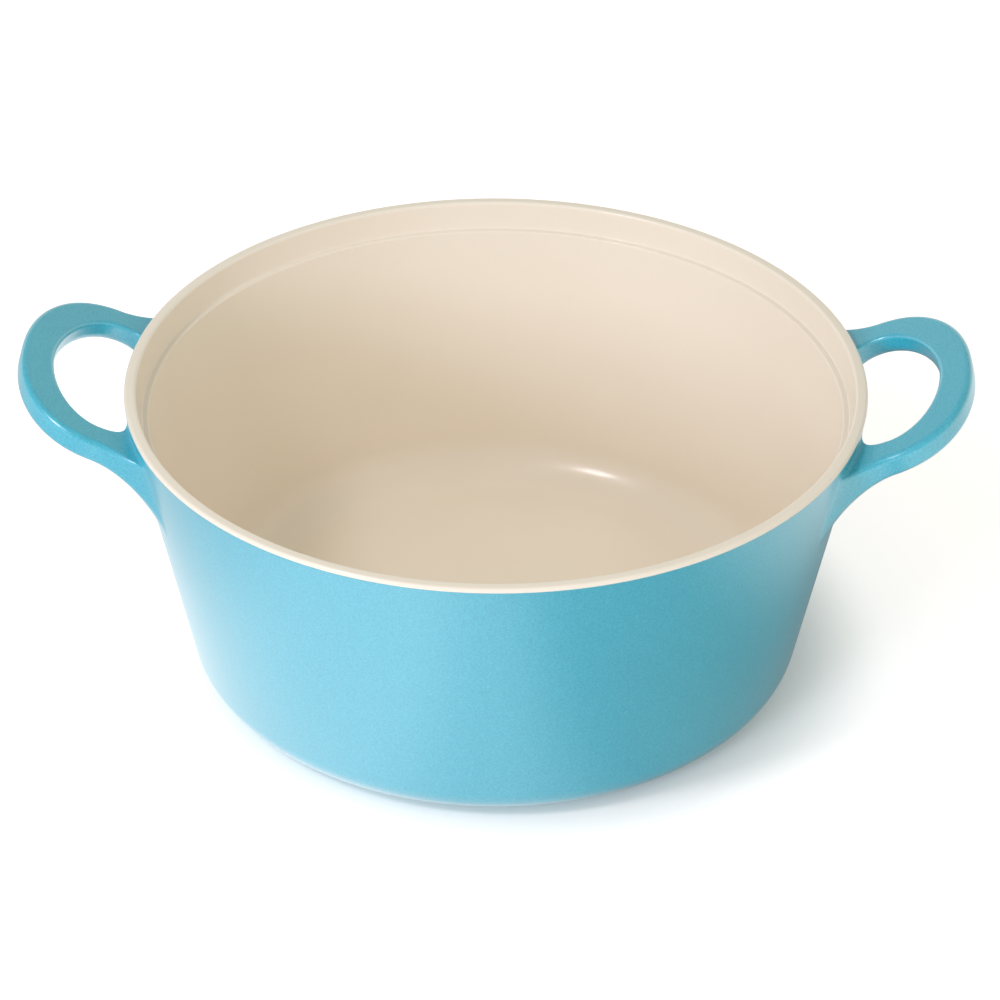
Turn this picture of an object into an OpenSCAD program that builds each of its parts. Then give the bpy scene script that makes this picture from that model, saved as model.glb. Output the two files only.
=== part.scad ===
// Round casserole pot with two loop handles: cast aluminium, lacquered outside and
// lined with a ceramic coat inside, with a ledge for a lid just inside the rim.
// Millimetres, +Z up. The origin is the centre of the plane that the foot ring stands on.

/* [Pot] */
// Diameter over the outside of the rim
rim_diameter = 240; // [180:1:320]
// Height from the foot ring to the top of the rim
pot_height = 102.5; // [70:0.5:160]
// Slope of the outside wall from upright, in degrees
wall_taper = 11.6; // [3:0.1:14]
// Thickness of the wall below the lid ledge, coats included
wall_thickness = 5.7; // [4:0.1:8]
// Thickness of the floor above the foot ring's plane
floor_thickness = 5; // [4:0.1:9]
// Radius of the outside corner between wall and underside
base_corner = 12; // [2:0.1:14]
// Radius of the inside corner between wall and floor
floor_corner = 16; // [3:0.5:30]

/* [Rim and lid ledge] */
// Width of the rim's top, rounded edges included
rim_width = 4; // [3.4:0.1:6]
// Radius of the rim's two edges
rim_edge = 1.1; // [0.6:0.1:1.6]
// Distance that the lining is carried down the outside of the rim
rim_wrap = 1.3; // [0.8:0.1:3]
// Depth of the lid ledge below the rim
ledge_depth = 9.4; // [6:0.1:18]
// Width of the lid ledge
ledge_width = 2; // [1.8:0.1:6]
// Radius of the lid ledge's inner edge and of the corner behind it
ledge_edge = 0.5; // [0.3:0.1:0.8]
// Amount by which the recess over the ledge narrows from the rim to the ledge
recess_draft = 1.7; // [0:0.1:2]

/* [Base] */
// Distance of the foot ring inside the sharp corner of the base
foot_setback = 11; // [5:0.5:15]
// Width of the turned foot ring
foot_width = 14; // [5:0.5:30]
// Height of the foot ring below the lacquered underside
foot_height = 0.8; // [0.5:0.1:2]
// Depth of the turned recess inside the foot ring
base_recess = 0.6; // [0.3:0.1:1.5]

/* [Coats] */
// Thickness of each coat, several times that of a real one
coat = 0.4; // [0.2:0.05:0.8]

/* [Handles] */
// Reach of a handle beyond the rim, on its flat top
handle_reach = 32.2; // [26:0.1:60]
// Width of a handle over both its legs
handle_span = 82.6; // [64:0.2:100]
// Depth of a handle's flat top below the rim, measured where it passes under the rim
handle_drop = 3.3; // [3:0.1:20]
// Rise of a handle's flat top towards its tip, in degrees
handle_rise = 23.6; // [0:0.1:30]
// Lean of a handle's sides from upright, in degrees
side_lean = 15.5; // [0:0.5:30]
// Width of the bar at the tip
bar_width = 10.1; // [7:0.1:16]
// Thickness of the bar at its legs
bar_thickness = 7.6; // [7:0.1:12]
// Share of that thickness by which the bar is thinner at its tip
tip_thinning = 0.01; // [0:0.01:0.12]
// Width of a leg at its neck, where it begins to flare into the wall
neck_width = 10.7; // [6:0.1:16]
// Distance of the neck beyond the rim
neck_gap = 4.8; // [1:0.1:8]
// Radius of the bar's outer upper edge
edge_above_out = 2.2; // [1:0.1:2.4]
// Radius of the bar's upper edge on the side of the fingers
edge_above_in = 1.3; // [1:0.1:2.4]
// Radius of the bar's outer lower edge
edge_below_out = 2; // [1:0.1:4]
// Radius of the bar's lower edge on the side of the fingers
edge_below_in = 3.6; // [1:0.1:4.2]

/* [Handle roots] */
// Spread of a root along the wall, away from the fingers
root_out = 7.9; // [3:0.1:14]
// Spread of a root along the wall, towards the fingers
root_in = 8.6; // [2:0.1:9]
// Spread of a root down the wall
root_below = 17.5; // [3:0.5:20]
// Spread of a root up the wall, above the handle's flat top
root_above = 2.6; // [0:0.1:3]

/* [Hidden] */
$fn = 96;

lacquer_blue = "#62B9D0";
lining_cream = "#E3D7C7";
bare_metal = "#B9BCC0";

rim_r = rim_diameter / 2;
foot_r = wall_r(foot_height) - foot_setback;
foot_chamfer = 0.3;
ledge_z = pot_height - ledge_depth;
ledge_outer_r = rim_r - rim_width - recess_draft;
ledge_inner_r = ledge_outer_r - ledge_width;

// Outside radius of the finished wall at height z, and the same for the bare casting
function wall_r(z) = rim_r - (pot_height - z) * tan(wall_taper);
function cast_r(z) = wall_r(z) - coat / cos(wall_taper);

// ---- Outlines: corners are [r, z, corner radius], with the ends of the walk first and last ----

function flat_of(c) = [c[0], c[1]];
function toward(a, b) = (flat_of(b) - flat_of(a)) / norm(flat_of(b) - flat_of(a));
function left_of(d) = [-d[1], d[0]];
function turn_of(d, e) = sign(d[0] * e[1] - d[1] * e[0]);

// The same walk, shifted by s to its left, with each corner's radius adjusted to stay parallel
function shifted(walk, s) = [
    for (i = [0 : len(walk) - 1])
        let (d = toward(walk[max(i - 1, 0)], walk[max(i, 1)]),
             e = i < len(walk) - 1 ? toward(walk[i], walk[i + 1]) : d,
             p = flat_of(walk[i]) + s * (left_of(d) + left_of(e)) / (1 + d * e),
             r = walk[i][2] == 0 ? 0 : walk[i][2] - s * turn_of(d, e))
        [p[0], p[1], r]
];

// The points of a walk, with each corner drawn as an arc
arc_steps = 8;
function drawn(walk) = [
    for (i = [0 : len(walk) - 1])
        if (walk[i][2] == 0)
            flat_of(walk[i])
        else
            let (d = toward(walk[i - 1], walk[i]),
                 e = toward(walk[i], walk[i + 1]),
                 r = walk[i][2],
                 side = turn_of(d, e),
                 swing = acos(d * e),
                 start = flat_of(walk[i]) - d * r * tan(swing / 2),
                 centre = start + side * r * left_of(d))
            for (k = [0 : arc_steps])
                let (a = swing * k / arc_steps)
                centre - side * r * (left_of(d) * cos(a) - side * d * sin(a))
];
function reversed(list) = [for (i = [len(list) - 1 : -1 : 0]) list[i]];

// Height and radius at which the inside wall, carried straight down, would meet the floor
floor_r = wall_r(floor_thickness) - wall_thickness / cos(wall_taper);

// The lining's face: up over the rim from its outside, down past the ledge, and in to the axis
lining_walk = [
    [wall_r(pot_height - rim_wrap), pot_height - rim_wrap, 0],
    [rim_r, pot_height, rim_edge],
    [rim_r - rim_width, pot_height, rim_edge],
    [ledge_outer_r, ledge_z, ledge_edge],
    [ledge_inner_r, ledge_z, ledge_edge],
    [floor_r, floor_thickness, floor_corner],
    [0, floor_thickness, 0]
];

// The lacquer's face: down the wall from the lining's edge, and in under the base to the foot ring
lacquer_walk = [
    [wall_r(pot_height - rim_wrap), pot_height - rim_wrap, 0],
    [wall_r(foot_height), foot_height, base_corner],
    [foot_r, foot_height, 0]
];

// The turned underside, from the axis out over the foot ring
turned_base = [
    [0, base_recess],
    [foot_r - foot_width - base_recess, base_recess],
    [foot_r - foot_width, 0],
    [foot_r - foot_chamfer, 0],
    [foot_r, foot_chamfer]
];

// ---- Handles: a flat loop, tilted about the rim, that flares into the wall at both roots ----

neck_x = rim_r + neck_gap;
loop_outer_power = 2.22;
loop_inner_power = 1.88;
ring_turn = 6;
flare_steps = 7;
cap_scales = [0.75, 0.5, 0.25];

// How late each side of a root begins to spread: 1 follows a quarter of an ellipse
late_out = 0.77;
late_in = 1.29;
late_below = 1.18;
late_above = 1.83;
// Growth of the lower edges' radii and shrinking of the upper ones' towards the wall
grow_below = [5.3, 2.8];
shrink_above = [0.5, 0.7];

// Distance from the loop's centre to an oval outline of half-length a and half-width b
function oval(a, b, power, t) = pow(pow(abs(cos(t)) / a, power) + pow(abs(sin(t)) / b, power), -1 / power);

outer_length = handle_reach - neck_gap;
inner_length = outer_length - bar_width;
inner_span = handle_span / 2 - neck_width;
function loop_outer(t) = oval(outer_length, handle_span / 2, loop_outer_power, t);
function loop_inner(t) = oval(inner_length, inner_span, loop_inner_power, t);

// Round the bar's section: [0 inner to 1 outer, 0 upper or 1 lower, direction faced, corner]. The
// corners run from the outer lower one past the fingers' side, and direction 90 faces down. The
// flats below and above have points between their corners too, at shares of their width.
edge_steps = 4;
flat_stops = [0.25, 0.5, 0.75];
corners = [[1, 1], [0, 1], [0, 0], [1, 0]];
section = [
    for (c = [0 : 3])
        each concat(
            [for (k = [0 : edge_steps]) [corners[c][0], corners[c][1], 90 * (c + k / edge_steps), c]],
            [for (f = c % 2 == 0 ? flat_stops : []) [c == 0 ? 1 - f : f, corners[c][1], 90 * (c + 1), c]]
        )
];
bar_edges = [edge_below_out, edge_below_in, edge_above_in, edge_above_out];

// Place across and down of a point s of the section, with the radii of its four corners
function across(s, width, radii) =
    let (r = radii[s[3]],
         first = radii[s[1] == 1 ? 1 : 2],
         last = radii[s[1] == 1 ? 0 : 3])
    s[0] > 0 && s[0] < 1
        ? first + s[0] * (width - first - last)
        : s[0] * (width - 2 * r) + r + r * cos(s[2]);
function down(s, depth, radii) =
    let (r = radii[s[3]])
    s[1] * (depth - 2 * r) + r + r * sin(s[2]);

// A point of the bar, from its place in plan on the flat top and its depth along the leaning side
function bar_point(x, y, depth) = [
    x + depth * sin(side_lean),
    y,
    pot_height - handle_drop + (x - rim_r) * tan(handle_rise) - depth * cos(side_lean)
];

function thickness(t) = bar_thickness * (1 - tip_thinning * pow(cos(t), 2));
function bar_ring(t) = [
    for (s = section)
        let (r = loop_inner(t) + across(s, loop_outer(t) - loop_inner(t), bar_edges))
        bar_point(neck_x + r * cos(t), r * sin(t), down(s, thickness(t), bar_edges))
];

// Distance from the plane x = 0 of the lacquer's face and of the bare casting's, at y, z
function face_x(y, z) = sqrt(pow(wall_r(z), 2) - y * y);
function cast_x(y, z) = sqrt(pow(cast_r(z), 2) - y * y);

// Where a line along the leg from p meets the lacquer's face
function landing(p, x, tries) =
    tries == 0 ? x : landing(p, face_x(p[1], p[2] - (p[0] - x) * tan(handle_rise)), tries - 1);

// The leg's section at swing b of the flare, from the neck at 0 to the wall at 90
function flare_ring(side, b) =
    let (k = 1 - cos(b),
         spread_in = root_in * pow(k, late_in),
         spread_up = root_above * pow(k, late_above),
         width = neck_width + root_out * pow(k, late_out) + spread_in,
         depth = bar_thickness + root_below * pow(k, late_below) + spread_up,
         radii = [bar_edges[0] + k * grow_below[0], bar_edges[1] + k * grow_below[1],
                  bar_edges[2] * (1 - k * shrink_above[0]), bar_edges[3] * (1 - k * shrink_above[1])])
    [
        for (s = section)
            let (n = down(s, depth, radii) - spread_up,
                 bar_depth = max(0, min(n, bar_thickness)),
                 y = side * (inner_span - spread_in + across(s, width, radii)),
                 p = bar_point(neck_x, y, bar_depth) - [0, 0, n - bar_depth],
                 wall = landing(p, rim_r, 5),
                 x = wall + (p[0] - wall) * (1 - sin(b)),
                 z = p[2] - (p[0] - x) * tan(handle_rise))
            [b == 90 ? face_x(y, z) : x, y, z]
    ];

// The root's outline on the wall, the same outline on the bare casting, and the face inside it
function root_ring(side) = flare_ring(side, 90);
function seat_point(y, z) = [cast_x(y, z), y, z];
function middle_of(points) =
    [for (k = [0 : 2]) [for (p = points) p[k]] * [for (p = points) 1] / len(points)];
function seat_ring(side, scale) =
    let (ring = root_ring(side), m = middle_of(ring))
    [for (p = ring) seat_point(m[1] + (p[1] - m[1]) * scale, m[2] + (p[2] - m[2]) * scale)];
function seat_middle(side) = let (m = middle_of(root_ring(side))) seat_point(m[1], m[2]);

// All the rings of a handle, from one root round the loop to the other
half_flare = [for (k = [1 : flare_steps]) 90 * k / flare_steps];
handle_rings = concat(
    [for (c = reversed(cap_scales)) seat_ring(-1, c)],
    [seat_ring(-1, 1)],
    [for (b = reversed(half_flare)) flare_ring(-1, b)],
    [for (t = [-90 : ring_turn : 90]) bar_ring(t)],
    [for (b = half_flare) flare_ring(1, b)],
    [seat_ring(1, 1)],
    [for (c = cap_scales) seat_ring(1, c)]
);

module loop_handle() {
    sides = len(section);
    rings = len(handle_rings);
    ends = [seat_middle(-1), seat_middle(1)];
    points = concat([for (ring = handle_rings) each ring], ends);
    first_end = rings * sides;
    flanks = [
        for (i = [0 : rings - 2], j = [0 : sides - 1])
            let (k = (j + 1) % sides,
                 a = i * sides + j, b = i * sides + k, c = a + sides, d = b + sides)
            each [[a, d, b], [a, c, d]]
    ];
    caps = [
        for (j = [0 : sides - 1])
            let (k = (j + 1) % sides)
            each [[first_end, j, k], [first_end + 1, (rings - 1) * sides + k, (rings - 1) * sides + j]]
    ];
    polyhedron(points = points, faces = concat(flanks, caps), convexity = 6);
}

// ---- Sub-parts ----

module body_casting() {
    color(bare_metal)
    rotate_extrude()
    polygon(concat(
        drawn(shifted(lining_walk, coat)),
        turned_base,
        reversed(drawn(shifted(lacquer_walk, -coat)))
    ));
}

module inner_coating() {
    color(lining_cream)
    rotate_extrude()
    polygon(concat(drawn(lining_walk), reversed(drawn(shifted(lining_walk, coat)))));
}

module outer_coating() {
    color(lacquer_blue)
    difference() {
        rotate_extrude()
        polygon(concat(drawn(lacquer_walk), reversed(drawn(shifted(lacquer_walk, -coat)))));
        // Openings where the handles' roots pass through to the casting
        for (end = [0, 1], side = [-1, 1])
            mirror([end, 0, 0])
            root_opening(side);
    }
}

// The root's outline carried straight along X, right through the coat
module root_opening(side) {
    rotate([90, 0, 90])
    linear_extrude(height = neck_x)
    polygon([for (p = root_ring(side)) [p[1], p[2]]]);
}

module left_handle() {
    color(lacquer_blue)
    mirror([1, 0, 0])
    loop_handle();
}

module right_handle() {
    color(lacquer_blue)
    loop_handle();
}

body_casting();
outer_coating();
inner_coating();
left_handle();
right_handle();
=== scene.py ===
"""Looks of a round casserole pot with two loop handles.

The pot is cast aluminium, lacquered sky blue outside and lined with cream ceramic, with a turned
underside. Every shape is worked out with numpy in millimetres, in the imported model's own frame: +Z
up, the foot ring on z = 0 and the handles along X. Meshes are in metres.
"""

import math

import bpy
import numpy as np
from mathutils import Matrix, Vector


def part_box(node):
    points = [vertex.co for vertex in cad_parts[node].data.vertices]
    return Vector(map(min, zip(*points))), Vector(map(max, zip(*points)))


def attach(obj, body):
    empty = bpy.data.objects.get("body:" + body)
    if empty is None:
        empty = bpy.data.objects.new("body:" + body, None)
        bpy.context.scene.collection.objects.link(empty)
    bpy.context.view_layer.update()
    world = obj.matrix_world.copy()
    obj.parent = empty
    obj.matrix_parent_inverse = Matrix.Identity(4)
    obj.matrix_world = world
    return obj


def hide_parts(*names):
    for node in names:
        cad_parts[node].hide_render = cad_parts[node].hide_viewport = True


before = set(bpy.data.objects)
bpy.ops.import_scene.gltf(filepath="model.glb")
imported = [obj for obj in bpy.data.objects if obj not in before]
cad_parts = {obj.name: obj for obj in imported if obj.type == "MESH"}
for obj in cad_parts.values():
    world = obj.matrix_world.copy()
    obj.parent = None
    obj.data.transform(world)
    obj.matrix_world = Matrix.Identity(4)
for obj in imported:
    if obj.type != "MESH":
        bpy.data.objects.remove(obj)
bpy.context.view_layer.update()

MM = 0.001

# ---- Sizes of the pot, in mm and degrees, as in the construction model ----

RIM_R = 120.0
POT_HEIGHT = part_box("inner_coating")[1].z / MM
WALL_TAPER = math.radians(11.6)
WALL_THICKNESS = 5.7
FLOOR_THICKNESS = 5.0
BASE_CORNER = 12.0
FLOOR_CORNER = 16.0
COAT = 0.4

RIM_WIDTH = 4.0
RIM_EDGE = 1.1
RIM_WRAP = 1.3
LEDGE_DEPTH = 9.4
LEDGE_WIDTH = 2.0
LEDGE_EDGE = 0.5
RECESS_DRAFT = 1.7

FOOT_SETBACK = 11.0
FOOT_WIDTH = 14.0
FOOT_HEIGHT = 0.8
FOOT_CHAMFER = 0.3
BASE_RECESS = 0.6

HANDLE_REACH = 32.2
HANDLE_SPAN = 82.6
HANDLE_DROP = 3.3
HANDLE_RISE = math.radians(23.6)
SIDE_LEAN = math.radians(15.5)
BAR_WIDTH = 10.1
BAR_THICKNESS = 7.6
TIP_THINNING = 0.01
NECK_WIDTH = 10.7
NECK_GAP = 4.8
BAR_EDGES = (2.0, 3.6, 1.3, 2.2)  # outer lower, inner lower, inner upper, outer upper
LOOP_OUTER_POWER = 2.22
LOOP_INNER_POWER = 1.88

ROOT_OUT = 7.9
ROOT_IN = 8.6
ROOT_BELOW = 17.5
ROOT_ABOVE = 2.6
LATE_OUT = 0.77
LATE_IN = 1.29
LATE_BELOW = 1.18
LATE_ABOVE = 1.83
EDGE_GROWTH = (5.3, 2.8, 0.0, 0.0)  # mm that each edge's radius gains at the wall
EDGE_SHRINK = (0.0, 0.0, 0.5, 0.7)  # share of its radius that each edge loses at the wall

# ---- How finely the surfaces are drawn ----

TURN_STEPS = 300
ARC_STEPS = 10
ROW_SPACING = 3.0  # mm
HOLD = 0.2  # mm
EDGE_STEPS = 8
FLAT_STOPS = (0.05, 0.35, 0.65, 0.95)  # shares of the way along a flat of the handle's section
LOOP_RINGS = 91
FLARE_RINGS = 46
FLARE_CROWDING = 0.8  # below 1 the flare's rings lie closer together towards the wall
WALL_PASSES = 5
CAP_SCALES = (0.8, 0.55, 0.3)


# ---- Sections of the round parts ----


def wall_r(z):
    """Radius of the finished outside wall at height z: a straight cone."""
    return RIM_R - (POT_HEIGHT - z) * math.tan(WALL_TAPER)


FOOT_R = wall_r(FOOT_HEIGHT) - FOOT_SETBACK
LEDGE_Z = POT_HEIGHT - LEDGE_DEPTH
LEDGE_OUTER_R = RIM_R - RIM_WIDTH - RECESS_DRAFT
FLOOR_R = wall_r(FLOOR_THICKNESS) - WALL_THICKNESS / math.cos(WALL_TAPER)

# Walks of corners (r, z, radius): the lining's face from the outside of the rim in to the axis, and
# the lacquer's face from the lining's edge down and in to the foot ring
WRAP_END = (wall_r(POT_HEIGHT - RIM_WRAP), POT_HEIGHT - RIM_WRAP, 0)
LINING_WALK = (
    WRAP_END,
    (RIM_R, POT_HEIGHT, RIM_EDGE),
    (RIM_R - RIM_WIDTH, POT_HEIGHT, RIM_EDGE),
    (LEDGE_OUTER_R, LEDGE_Z, LEDGE_EDGE),
    (LEDGE_OUTER_R - LEDGE_WIDTH, LEDGE_Z, LEDGE_EDGE),
    (FLOOR_R, FLOOR_THICKNESS, FLOOR_CORNER),
    (0, FLOOR_THICKNESS, 0),
)
LACQUER_WALK = (
    WRAP_END,
    (wall_r(FOOT_HEIGHT), FOOT_HEIGHT, BASE_CORNER),
    (FOOT_R, FOOT_HEIGHT, 0),
)
BASE_WALK = (
    (0, BASE_RECESS, 0),
    (FOOT_R - FOOT_WIDTH - BASE_RECESS, BASE_RECESS, BASE_RECESS / 2),
    (FOOT_R - FOOT_WIDTH, 0, BASE_RECESS / 2),
    (FOOT_R, 0, FOOT_CHAMFER),
    (FOOT_R, FOOT_HEIGHT + COAT, 0),
)


def lengths(vectors):
    """Length of each vector, its last axis kept."""
    return np.linalg.norm(vectors, axis=-1, keepdims=True)


def directions(walk):
    """Unit directions of a walk before and after each corner, the end ones repeated."""
    steps = np.diff(np.array(walk, float)[:, :2], axis=0)
    steps /= lengths(steps)
    return np.vstack([steps[:1], steps]), np.vstack([steps, steps[-1:]])


def left_of(direction):
    """The direction turned a quarter to the left."""
    return np.stack([-direction[..., 1], direction[..., 0]], -1)


def turn_of(before, after):
    """1 where a walk turns left, -1 where it turns right: the sign of the cross product."""
    return np.sign(before[..., 0] * after[..., 1] - before[..., 1] * after[..., 0])


def parallel(walk, shift):
    """The walk moved by shift to its left: each corner goes along the mean of its two normals, and
    its radius changes by the same shift, so that the arcs stay concentric."""
    walk = np.array(walk, float)
    before, after = directions(walk)
    mean = (left_of(before) + left_of(after)) / (1 + np.sum(before * after, 1))[:, None]
    radius = np.where(walk[:, 2] > 0, walk[:, 2] - shift * turn_of(before, after), 0)
    return np.column_stack([walk[:, :2] + shift * mean, radius])


def arc(corner, radius, before, after):
    """The arc of that radius which touches both sides of a corner, from the first side to the
    second; a radius of 0 gives the corner itself."""
    if radius == 0:
        return corner[None]
    side = turn_of(before, after)
    swing = math.acos(np.clip(before @ after, -1, 1))
    start = corner - before * radius * math.tan(swing / 2)
    centre = start + side * radius * left_of(before)
    angle = np.linspace(0, swing, ARC_STEPS + 1)[:, None]
    return centre - side * radius * (left_of(before) * np.cos(angle) - side * before * np.sin(angle))


def stretch(start, end):
    """Points between two ends: one at HOLD from each, so that smooth shading keeps the stretch
    straight, and the others evenly between them, at most ROW_SPACING apart."""
    length = float(lengths(end - start)[0])
    if length < 4 * HOLD:
        return np.empty((0, 2))
    place = np.linspace(HOLD, length - HOLD, 2 + int(length // ROW_SPACING))
    return start + (end - start) * place[:, None] / length


def drawn(walk):
    """All the points (r, z) of a walk, its corners as arcs."""
    walk = np.array(walk, float)
    arcs = [arc(c[:2], c[2], d, e) for c, d, e in zip(walk, *directions(walk))]
    rows = [arcs[0]]
    for last, following in zip(arcs, arcs[1:]):
        rows += [stretch(last[-1], following[0]), following]
    return np.vstack(rows)


# ---- Meshes ----


def grid_faces(rows, columns, wrap_rows):
    """Quads of a grid of points, closed across its columns and, if wrap_rows, its rows too."""
    row = np.arange(rows if wrap_rows else rows - 1)[:, None]
    column = np.arange(columns)[None]
    beside = (column + 1) % columns
    here, above = row * columns, (row + 1) % rows * columns
    corners = (here + column, here + beside, above + beside, above + column)
    return np.stack(np.broadcast_arrays(*corners), -1).reshape(-1, 4)


def fan_faces(centre, ring):
    """Triangles from a centre point to a closed ring of points, whose winding follows the ring's."""
    return np.stack([np.full(len(ring), centre), ring, np.roll(ring, -1)], -1)


def signed_volume(points, quads, triangles):
    """Six times the volume inside a closed mesh: the sum of each triangle's triple product."""
    corners = np.vstack([quads[:, [0, 1, 2]], quads[:, [0, 2, 3]], triangles])
    a, b, c = (points[corners[:, k]] for k in range(3))
    return float(np.sum(a * np.cross(b, c)))


def make_piece(name, points, quads, triangles, material, stands_for, sharp_rings=()):
    """A smooth closed mesh in metres, its faces turned outwards, riding on the pot's body and
    standing for a node of the frame. Edges within each ring of sharp_rings are creases."""
    if signed_volume(points, quads, triangles) < 0:
        quads, triangles = quads[:, ::-1], triangles[:, ::-1]
    mesh = bpy.data.meshes.new(name)
    mesh.from_pydata((points * MM).tolist(), [], quads.tolist() + triangles.tolist())
    mesh.polygons.foreach_set("use_smooth", np.ones(len(mesh.polygons), bool))
    ends = np.empty(len(mesh.edges) * 2, np.int32)
    mesh.edges.foreach_get("vertices", ends)
    creased = np.zeros(len(mesh.edges), bool)
    for ring in sharp_rings:
        creased |= np.isin(ends, ring).reshape(-1, 2).all(1)
    mesh.attributes.new("sharp_edge", "BOOLEAN", "EDGE").data.foreach_set("value", creased)
    mesh.materials.append(material)
    piece = bpy.data.objects.new(name, mesh)
    bpy.context.scene.collection.objects.link(piece)
    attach(piece, "root")
    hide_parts(stands_for)
    return piece


def turned(name, section, material, stands_for):
    """A section (r, z) carried round the axis in TURN_STEPS steps. One that starts and ends on the
    axis is closed there by two fans; any other is closed on itself."""
    poles = section[[0, -1]] if section[0, 0] == 0 else None
    ring = section if poles is None else section[1:-1]
    angle = np.arange(TURN_STEPS) * 2 * math.pi / TURN_STEPS
    r, z = ring[:, :1], ring[:, 1:]
    grid = np.stack([r * np.cos(angle), r * np.sin(angle), z + 0 * angle], -1).reshape(-1, 3)
    quads = grid_faces(len(ring), TURN_STEPS, wrap_rows=poles is None)
    if poles is None:
        return make_piece(name, grid, quads, np.empty((0, 3), int), material, stands_for)
    points = np.vstack([grid, [[0, 0, poles[0, 1]], [0, 0, poles[1, 1]]]])
    first = np.arange(TURN_STEPS)
    last = first + len(grid) - TURN_STEPS
    fans = np.vstack([fan_faces(len(grid), first[::-1]), fan_faces(len(grid) + 1, last)])
    return make_piece(name, points, quads, fans, material, stands_for)


# ---- Handles ----

NECK_X = RIM_R + NECK_GAP
OUTER_LENGTH = HANDLE_REACH - NECK_GAP
INNER_SPAN = HANDLE_SPAN / 2 - NECK_WIDTH


def oval(length, half_width, power, t):
    """Distance from the centre to a superellipse in the direction t."""
    along, across = np.abs(np.cos(t) / length), np.abs(np.sin(t) / half_width)
    return (along**power + across**power) ** (-1 / power)


def bar_section(width, depth, radii):
    """The bar's section at each ring, as (across, down) points: four corner arcs, from the outer
    lower one past the fingers' side, with a few points on the flat after each."""
    angle = np.radians(np.linspace(0, 90, EDGE_STEPS + 1))
    corners = []
    for c, (outer, lower) in enumerate(((1, 1), (0, 1), (0, 0), (1, 0))):
        r = radii[:, c, None]
        across = outer * (width[:, None] - 2 * r) + r + r * np.cos(angle + c * math.pi / 2)
        down = lower * (depth[:, None] - 2 * r) + r + r * np.sin(angle + c * math.pi / 2)
        corners.append(np.stack([across, down], -1))
    stops = np.array(FLAT_STOPS)[None, :, None]
    parts = []
    for c in range(4):
        start, end = corners[c][:, -1:], corners[(c + 1) % 4][:, :1]
        parts += [corners[c], start + (end - start) * stops]
    return np.concatenate(parts, 1)


def on_bar(x, y, down):
    """Points of the bar from their place in plan on its flat top and their depth along its sides,
    which lean: the top rises outwards from HANDLE_DROP below the rim."""
    z = POT_HEIGHT - HANDLE_DROP + (x - RIM_R) * math.tan(HANDLE_RISE) - down * math.cos(SIDE_LEAN)
    return np.stack([x + down * math.sin(SIDE_LEAN), y, z], -1)


def loop_rings():
    """The loop from neck to neck: at each turn t the section lies between two superellipses."""
    t = np.linspace(-math.pi / 2, math.pi / 2, LOOP_RINGS)
    inner = oval(OUTER_LENGTH - BAR_WIDTH, INNER_SPAN, LOOP_INNER_POWER, t)
    outer = oval(OUTER_LENGTH, HANDLE_SPAN / 2, LOOP_OUTER_POWER, t)
    depth = BAR_THICKNESS * (1 - TIP_THINNING * np.cos(t) ** 2)
    section = bar_section(outer - inner, depth, np.tile(BAR_EDGES, (LOOP_RINGS, 1)))
    r = inner[:, None] + section[..., 0]
    t = t[:, None]
    return on_bar(NECK_X + r * np.cos(t), r * np.sin(t), section[..., 1])


def face_x(y, z):
    """Distance of the lacquered wall from the plane x = 0 at y, z."""
    return np.sqrt(wall_r(z) ** 2 - y**2)


def flare_rings(side):
    """A leg from its neck to the wall: the section spreads with k = 1 - cos b, and its points close in
    on the wall with 1 - sin b along the handle's rise, so that the leg meets the wall tangentially.
    Where the rise meets the cone is found by repeated steps."""
    b = np.linspace(0, 1, FLARE_RINGS + 1)[1:] ** FLARE_CROWDING * math.pi / 2
    k = 1 - np.cos(b)
    spread_in = ROOT_IN * k**LATE_IN
    width = NECK_WIDTH + ROOT_OUT * k**LATE_OUT + spread_in
    spread_up = ROOT_ABOVE * k**LATE_ABOVE
    depth = BAR_THICKNESS + ROOT_BELOW * k**LATE_BELOW + spread_up
    radii = np.array(BAR_EDGES) * (1 - np.outer(k, EDGE_SHRINK)) + np.outer(k, EDGE_GROWTH)
    section = bar_section(width, depth, radii)
    below = section[..., 1] - spread_up[:, None]
    down = np.clip(below, 0, BAR_THICKNESS)
    y = side * (INNER_SPAN - spread_in[:, None] + section[..., 0])
    start = on_bar(NECK_X, y, down)
    start[..., 2] -= below - down
    slope = math.tan(HANDLE_RISE)
    wall = np.full_like(y, RIM_R)
    for _ in range(WALL_PASSES):
        wall = face_x(y, start[..., 2] - (start[..., 0] - wall) * slope)
    x = wall + (start[..., 0] - wall) * (1 - np.sin(b))[:, None]
    z = start[..., 2] - (start[..., 0] - x) * slope
    x[-1] = face_x(y[-1], z[-1])
    return np.stack([x, y, z], -1)


def seat_rings(root, scales):
    """Rings on the bare casting under a root's outline, shrunk towards its middle by each scale."""
    middle = root[:, 1:].mean(0)
    y, z = np.moveaxis(middle + (root[None, :, 1:] - middle) * np.array(scales)[:, None, None], -1, 0)
    bare = wall_r(z) - COAT / math.cos(WALL_TAPER)
    return np.stack([np.sqrt(bare**2 - y**2), y, z], -1)


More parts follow.
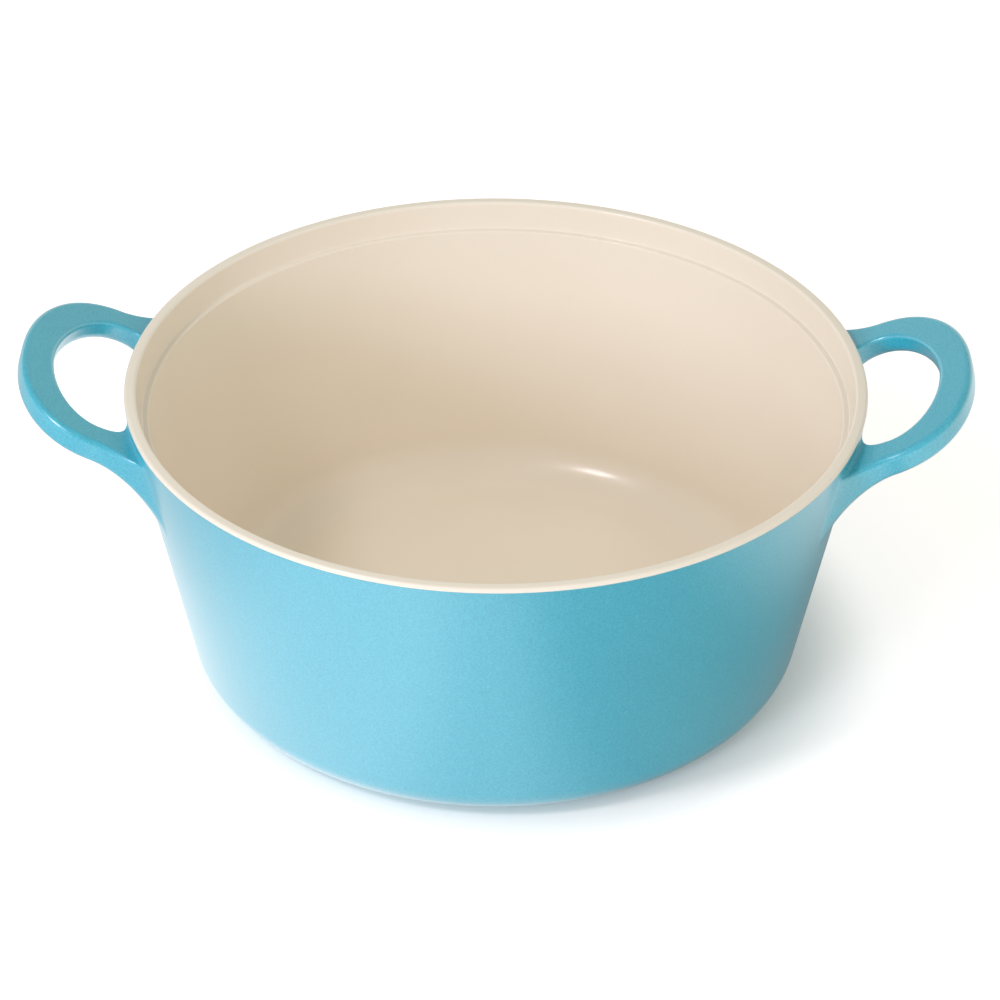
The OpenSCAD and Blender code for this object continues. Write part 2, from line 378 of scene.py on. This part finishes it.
def loop_handle(name, mirrored, material, stands_for):
    """One handle as a closed tube of rings: cap, seat and flare at one root, the loop, and back."""
    near, far = flare_rings(-1), flare_rings(1)
    scales = (1, *CAP_SCALES)
    rings = np.concatenate([
        seat_rings(near[-1], scales)[::-1], near[::-1], loop_rings(), far, seat_rings(far[-1], scales),
    ])
    count, around = rings.shape[:2]
    ends = np.concatenate([seat_rings(near[-1], (0,))[0, :1], seat_rings(far[-1], (0,))[0, :1]])
    points = np.vstack([rings.reshape(-1, 3), ends]) * ((-1 if mirrored else 1), 1, 1)
    quads = grid_faces(count, around, wrap_rows=False)
    first = np.arange(around)
    last = first + (count - 1) * around
    fans = np.vstack([fan_faces(len(points) - 2, first[::-1]), fan_faces(len(points) - 1, last)])
    creases = [first + ring * around for ring in (len(scales), count - 1 - len(scales))]
    return make_piece(name, points, quads, fans, material, stands_for, creases)


# ---- Materials ----

GRAIN_LAYERS = (("Fine", 1.0, "Grain"), ("Dimples", 2.0, "Height"), ("Broad", 3.0, "Mottle"))
NOISE_LOW, NOISE_HIGH = 0.3, 0.7  # the part of its range that noise fills
MIX_FACTOR, MIX_A, MIX_B, MIX_RESULT = 0, 6, 7, 2  # a Mix node's sockets for colours


def new_material(name):
    """A node material and its Principled shader, joined to the output."""
    material = bpy.data.materials.new(name)
    material.use_nodes = True
    nodes = material.node_tree.nodes
    nodes.clear()
    shader = nodes.new("ShaderNodeBsdfPrincipled")
    output = nodes.new("ShaderNodeOutputMaterial")
    material.node_tree.links.new(shader.outputs["BSDF"], output.inputs["Surface"])
    return material, shader


def add(tree, kind, settings=None, **inputs):
    """A node of that kind in a tree, with its own settings, and its inputs set or linked by name."""
    node = tree.nodes.new(kind)
    for key, value in (settings or {}).items():
        setattr(node, key, value)
    for key, value in inputs.items():
        socket = node.inputs[key.replace("_", " ")]
        if isinstance(value, bpy.types.NodeSocket):
            tree.links.new(value, socket)
        else:
            socket.default_value = value
    return node


def grain_group():
    """Group of noise at three scales: a mask of the fine grain, a height of soft dimples and a mask
    of broad mottling. Frequencies are per metre, on the object's own coordinates."""
    tree = bpy.data.node_groups.new("surface_grain", "ShaderNodeTree")
    for frequency, _, _ in GRAIN_LAYERS:
        tree.interface.new_socket(frequency, in_out="INPUT", socket_type="NodeSocketFloat")
    for _, _, result in GRAIN_LAYERS:
        tree.interface.new_socket(result, in_out="OUTPUT", socket_type="NodeSocketFloat")
    entry, leave = tree.nodes.new("NodeGroupInput"), tree.nodes.new("NodeGroupOutput")
    place = add(tree, "ShaderNodeTexCoord").outputs["Object"]
    for frequency, detail, result in GRAIN_LAYERS:
        scale = entry.outputs[frequency]
        noise = add(tree, "ShaderNodeTexNoise", Vector=place, Scale=scale, Detail=detail)
        tree.links.new(noise.outputs["Fac"], leave.inputs[result])
    return tree


GRAIN = grain_group()


def add_grain(tree, fine, dimples, broad):
    """The grain group's masks and height for a finish with those frequencies."""
    settings = {"node_tree": GRAIN}
    return add(tree, "ShaderNodeGroup", settings, Fine=fine, Dimples=dimples, Broad=broad).outputs


def tinted(tree, mask, low, high):
    """A colour that runs from low to high as the mask crosses the noise's range."""
    mix = add(tree, "ShaderNodeMix", {"data_type": "RGBA"})
    tree.links.new(ranged(tree, mask, 0, 1), mix.inputs[MIX_FACTOR])
    for socket, colour in ((MIX_A, low), (MIX_B, high)):
        mix.inputs[socket].default_value = (*colour, 1)
    return mix.outputs[MIX_RESULT]


def ranged(tree, value, low, high):
    """A number that runs from low to high as the value crosses the noise's range."""
    return add(
        tree, "ShaderNodeMapRange", Value=value,
        From_Min=NOISE_LOW, From_Max=NOISE_HIGH, To_Min=low, To_Max=high,
    ).outputs["Result"]


def multiplied(tree, colour, other):
    """The product of two colours."""
    mix = add(tree, "ShaderNodeMix", {"data_type": "RGBA", "blend_type": "MULTIPLY"})
    mix.inputs[MIX_FACTOR].default_value = 1
    tree.links.new(colour, mix.inputs[MIX_A])
    tree.links.new(other, mix.inputs[MIX_B])
    return mix.outputs[MIX_RESULT]


def join(tree, shader, colour, roughness, height, strength, depth):
    """Link a finish to its shader: colour, roughness, and a bump whose full height is depth metres."""
    bump = add(tree, "ShaderNodeBump", Height=height, Strength=strength, Distance=depth)
    tree.links.new(colour, shader.inputs["Base Color"])
    tree.links.new(roughness, shader.inputs["Roughness"])
    tree.links.new(bump.outputs["Normal"], shader.inputs["Normal"])


def blue_lacquer():
    """Glossy sky-blue lacquer with a pearly grain and a slight orange peel under a clear coat."""
    material, shader = new_material("blue_lacquer")
    tree = material.node_tree
    grain = add_grain(tree, fine=1800, dimples=700, broad=22)
    speckle = tinted(tree, grain["Grain"], (0.018, 0.385, 0.515), (0.052, 0.51, 0.635))
    shade = tinted(tree, grain["Mottle"], (0.97, 0.97, 0.97), (1.0, 1.0, 1.0))
    colour = multiplied(tree, speckle, shade)
    roughness = ranged(tree, grain["Grain"], 0.3, 0.38)
    join(tree, shader, colour, roughness, grain["Height"], strength=0.25, depth=0.0001)
    shader.inputs["Coat Weight"].default_value = 1
    shader.inputs["Coat Roughness"].default_value = 0.3
    shader.inputs["Coat IOR"].default_value = 2
    return material


def cream_ceramic():
    """Satin cream ceramic with faint mottling and a soft, slightly uneven gloss."""
    material, shader = new_material("cream_ceramic")
    tree = material.node_tree
    grain = add_grain(tree, fine=900, dimples=90, broad=14)
    colour = tinted(tree, grain["Mottle"], (0.875, 0.765, 0.635), (0.895, 0.79, 0.66))
    roughness = ranged(tree, grain["Mottle"], 0.285, 0.33)
    join(tree, shader, colour, roughness, grain["Height"], strength=0.03, depth=0.0001)
    shader.inputs["Coat Weight"].default_value = 0.3
    shader.inputs["Coat Roughness"].default_value = 0.12
    return material


def bare_aluminium():
    """Turned aluminium: fine rings round the pot's axis in the height and the roughness."""
    material, shader = new_material("bare_aluminium")
    tree = material.node_tree
    place = add(tree, "ShaderNodeTexCoord").outputs["Object"]
    grain = add_grain(tree, fine=1200, dimples=300, broad=30)
    rings = add(
        tree, "ShaderNodeTexWave", {"wave_type": "RINGS", "rings_direction": "Z"},
        Vector=place, Scale=160, Distortion=0.15, Detail=2, Detail_Scale=3,
    ).outputs["Fac"]
    colour = tinted(tree, grain["Mottle"], (0.6, 0.61, 0.63), (0.66, 0.67, 0.69))
    roughness = ranged(tree, rings, 0.26, 0.4)
    join(tree, shader, colour, roughness, rings, strength=0.35, depth=0.00005)
    shader.inputs["Metallic"].default_value = 1
    return material


# ---- The pot's pieces ----

LACQUER, CERAMIC, METAL = blue_lacquer(), cream_ceramic(), bare_aluminium()

lining_back = drawn(parallel(LINING_WALK, COAT))
lacquer_back = drawn(parallel(LACQUER_WALK, -COAT))
turned(
    "ceramic_lining", np.vstack([drawn(LINING_WALK)[::-1], lining_back]),
    CERAMIC, "inner_coating",
)
turned(
    "outer_lacquer", np.vstack([drawn(LACQUER_WALK), lacquer_back[::-1]]),
    LACQUER, "outer_coating",
)
turned(
    "aluminium_casting", np.vstack([lining_back[::-1], lacquer_back[1:], drawn(BASE_WALK)[::-1]]),
    METAL, "body_casting",
)
loop_handle("left_handle_lacquered", True, LACQUER, "left_handle")
loop_handle("right_handle_lacquered", False, LACQUER, "right_handle")


# ---- Camera, light and floor, in metres ----

CAMERA_DISTANCE = 1.3
CAMERA_HEIGHT_ANGLE = math.radians(33.485)
CAMERA_TURN = math.radians(1.4)
CAMERA_ROLL = math.radians(0.248)
CAMERA_AIM = Vector((1.456, 0, 55.378)) * MM
LENS = 142.173  # mm
SENSOR = 36.0  # mm

WORLD_STRENGTH = 0.64
WORLD_COLOUR = (0.95, 1, 0.95)
SWEEP_WHITE_TO = 0.25  # heights on the unit sphere between which the backdrop fades
SWEEP_DIM_FROM = 0.4
STUDIO_LEVEL = 0.32

FLOOR_SIZE = 6.0
FLOOR_COLOUR = (0.92, 0.87, 0.85)
FLOOR_ROUGHNESS = 0.9
GLOW_COLOUR = (1, 0.91, 0.89)
# Painted shadow: the camera's glow is low close to the pot and full further out, which paints a contact
# shadow round the base; its centre is set off to the right, so the painted shadow is lighter on the
# left.
PAINTED_SHADOW_GLOW = 0.08
FLOOR_GLOW = 0.5
PAINTED_SHADOW_EDGE_FROM = 0.084  # distances from the painted shadow's centre between which the glow rises out of the painted shadow
PAINTED_SHADOW_EDGE_TO = 0.122
PAINTED_SHADOW_CENTRE = (0.013, 0.0, 0.0)
# Painted reflection: glossy rays see the floor as a glow that is brighter on the left, which lays a
# pale sheen on the lacquer's left side.
PAINTED_REFLECTION_SPAN = 0.25
PAINTED_REFLECTION_STRENGTH = 1.75
PAINTED_REFLECTION_STOPS = (  # place from left to right over the span, and brightness there
    (0.1, 0.4), (0.28, 0.72), (0.4, 0.78), (0.5, 0.55), (0.62, 0.2), (0.76, 0.14), (0.91, 0.62),
)

LAMP_AIM = Vector((0, 0, 0.05))
SOFTBOXES = {
    "key": dict(
        azimuth=-49, elevation=48, distance=1.5, size=0.26, watts=5.3, colour=(1, 0.98, 1.05),
        mirrored=True,
    ),
    "window": dict(
        azimuth=-32, elevation=16, distance=1.3, size=0.3, watts=4.5, colour=(0.91, 0.98, 1.28),
        mirrored=False,
    ),
    "front": dict(
        azimuth=25, elevation=7, distance=1.3, size=0.5, watts=0.8, colour=(0.85, 1, 1.2),
        mirrored=False,
    ),
    "fill": dict(
        azimuth=50, elevation=30, distance=1.5, size=0.8, watts=1.7, colour=(1, 0.88, 0.66),
        mirrored=False,
    ),
}


def make_camera():
    """A camera in front of the pot, looking down at the aim point, turned a little about Z so that
    the handles lie on X, and rolled a little about its own line of sight."""
    turn = Matrix.Rotation(CAMERA_TURN, 4, "Z")
    back = Vector((0, -math.cos(CAMERA_HEIGHT_ANGLE), math.sin(CAMERA_HEIGHT_ANGLE)))
    up = Vector((0, math.sin(CAMERA_HEIGHT_ANGLE), math.cos(CAMERA_HEIGHT_ANGLE)))
    frame_of = Matrix((Vector((1, 0, 0)), up, back)).transposed().to_4x4()
    roll = Matrix.Rotation(CAMERA_ROLL, 4, "Z")
    data = bpy.data.cameras.new("camera")
    data.lens, data.sensor_width, data.sensor_fit = LENS, SENSOR, "HORIZONTAL"
    camera = bpy.data.objects.new("camera", data)
    place = Matrix.Translation(CAMERA_AIM + back * CAMERA_DISTANCE)
    camera.matrix_world = turn @ place @ frame_of @ roll
    bpy.context.scene.collection.objects.link(camera)
    bpy.context.scene.camera = camera


def add_softbox(name, azimuth, elevation, distance, size, watts, colour, mirrored):
    """A square area lamp that faces the pot. Azimuth 0 is in front of the pot and -90 on its left.
    Glossy surfaces show the lamp itself only if it is mirrored."""
    a, e = math.radians(azimuth), math.radians(elevation)
    away = Vector((math.sin(a) * math.cos(e), -math.cos(a) * math.cos(e), math.sin(e)))
    data = bpy.data.lights.new(name, "AREA")
    data.size, data.energy, data.color = size, watts, colour
    lamp = bpy.data.objects.new(name, data)
    lamp.location = LAMP_AIM + away * distance
    lamp.rotation_euler = away.to_track_quat("Z", "Y").to_euler()
    lamp.visible_glossy = mirrored
    bpy.context.scene.collection.objects.link(lamp)


def light_path(tree, *kinds):
    """1 for rays of any of those kinds, else 0."""
    path = add(tree, "ShaderNodeLightPath").outputs
    found = path[kinds[0]]
    for kind in kinds[1:]:
        node = add(tree, "ShaderNodeMath", {"operation": "MAXIMUM"})
        tree.links.new(found, node.inputs[0])
        tree.links.new(path[kind], node.inputs[1])
        found = node.outputs[0]
    return found


def switch(tree, choice, usual, instead):
    """The shader "usual" where choice is 0 and "instead" where it is 1, joined to the tree's output."""
    mix = add(tree, "ShaderNodeMixShader")
    tree.links.new(choice, mix.inputs[0])
    tree.links.new(usual, mix.inputs[1])
    tree.links.new(instead, mix.inputs[2])
    output = next(node for node in tree.nodes if "OUTPUT" in node.type)
    tree.links.new(mix.outputs[0], output.inputs["Surface"])


def make_world():
    """Even light from all round. Where the backdrop is seen, reflected or refracted it is a white
    sweep that fades above the horizon into a dimmer studio."""
    world = bpy.data.worlds.new("studio")
    bpy.context.scene.world = world
    world.use_nodes = True
    tree = world.node_tree
    tree.nodes.clear()
    add(tree, "ShaderNodeOutputWorld")
    even = add(tree, "ShaderNodeBackground", Color=(*WORLD_COLOUR, 1), Strength=WORLD_STRENGTH)
    towards = add(tree, "ShaderNodeTexCoord").outputs["Generated"]
    upward = add(tree, "ShaderNodeSeparateXYZ", Vector=towards)
    sweep = add(
        tree, "ShaderNodeMapRange", {"interpolation_type": "SMOOTHSTEP"}, Value=upward.outputs["Z"],
        From_Min=SWEEP_WHITE_TO, From_Max=SWEEP_DIM_FROM, To_Min=1, To_Max=STUDIO_LEVEL,
    )
    white = add(tree, "ShaderNodeBackground", Color=(1, 1, 1, 1), Strength=sweep.outputs["Result"])
    direct = light_path(tree, "Is Camera Ray", "Is Glossy Ray", "Is Transmission Ray")
    switch(tree, direct, even.outputs[0], white.outputs[0])


def make_floor():
    """A pale matt floor that keeps the pot's shadow, with a glow that only the camera sees and that
    rises away from the pot: it is low close to the pot, which paints a contact shadow round the base.
    Glossy surfaces see the floor as a glow that changes from left to right by PAINTED_REFLECTION_STOPS,
    a painted reflection of a bright left side that lays a pale sheen on the lacquer's left."""
    half = FLOOR_SIZE / 2
    corners = [(-half, -half, 0), (half, -half, 0), (half, half, 0), (-half, half, 0)]
    mesh = bpy.data.meshes.new("floor")
    mesh.from_pydata(corners, [], [(0, 1, 2, 3)])
    floor = bpy.data.objects.new("floor", mesh)
    bpy.context.scene.collection.objects.link(floor)
    material, shader = new_material("floor")
    tree = material.node_tree
    shader.inputs["Base Color"].default_value = (*FLOOR_COLOUR, 1)
    shader.inputs["Roughness"].default_value = FLOOR_ROUGHNESS
    shader.inputs["Emission Color"].default_value = (*GLOW_COLOUR, 1)
    spot = add(tree, "ShaderNodeTexCoord").outputs["Object"]
    away = add(tree, "ShaderNodeVectorMath", {"operation": "DISTANCE"})
    tree.links.new(spot, away.inputs[0])
    away.inputs[1].default_value = PAINTED_SHADOW_CENTRE
    # Glow low near the pot and full further out: a painted contact shadow round the base.
    rise = add(
        tree, "ShaderNodeMapRange", {"interpolation_type": "SMOOTHSTEP"}, Value=away.outputs["Value"],
        From_Min=PAINTED_SHADOW_EDGE_FROM, From_Max=PAINTED_SHADOW_EDGE_TO, To_Min=PAINTED_SHADOW_GLOW, To_Max=FLOOR_GLOW,
    )
    glow = add(tree, "ShaderNodeMath", {"operation": "MULTIPLY"})
    tree.links.new(light_path(tree, "Is Camera Ray"), glow.inputs[0])
    tree.links.new(rise.outputs["Result"], glow.inputs[1])
    tree.links.new(glow.outputs[0], shader.inputs["Emission Strength"])
    place = add(tree, "ShaderNodeSeparateXYZ", Vector=spot)
    # Painted reflection: glossy rays see this glow instead of the floor, brighter on the left.
    across = add(
        tree, "ShaderNodeMapRange", Value=place.outputs["X"],
        From_Min=-PAINTED_REFLECTION_SPAN, From_Max=PAINTED_REFLECTION_SPAN,
    )
    ramp = add(tree, "ShaderNodeValToRGB", Fac=across.outputs["Result"])
    ramp.color_ramp.interpolation = "EASE"
    ends = ramp.color_ramp.elements
    for stop, (position, level) in enumerate(PAINTED_REFLECTION_STOPS):
        element = ends[stop] if stop < 2 else ends.new(position)
        element.position, element.color = position, (level, level, level, 1)
    mirrored = add(tree, "ShaderNodeEmission", Color=ramp.outputs[0], Strength=PAINTED_REFLECTION_STRENGTH)
    switch(tree, light_path(tree, "Is Glossy Ray"), shader.outputs["BSDF"], mirrored.outputs[0])
    mesh.materials.append(material)


make_camera()
make_world()
make_floor()
for name, lamp in SOFTBOXES.items():
    add_softbox(name, **lamp)

bpy.context.scene.view_settings.view_transform = "Standard"
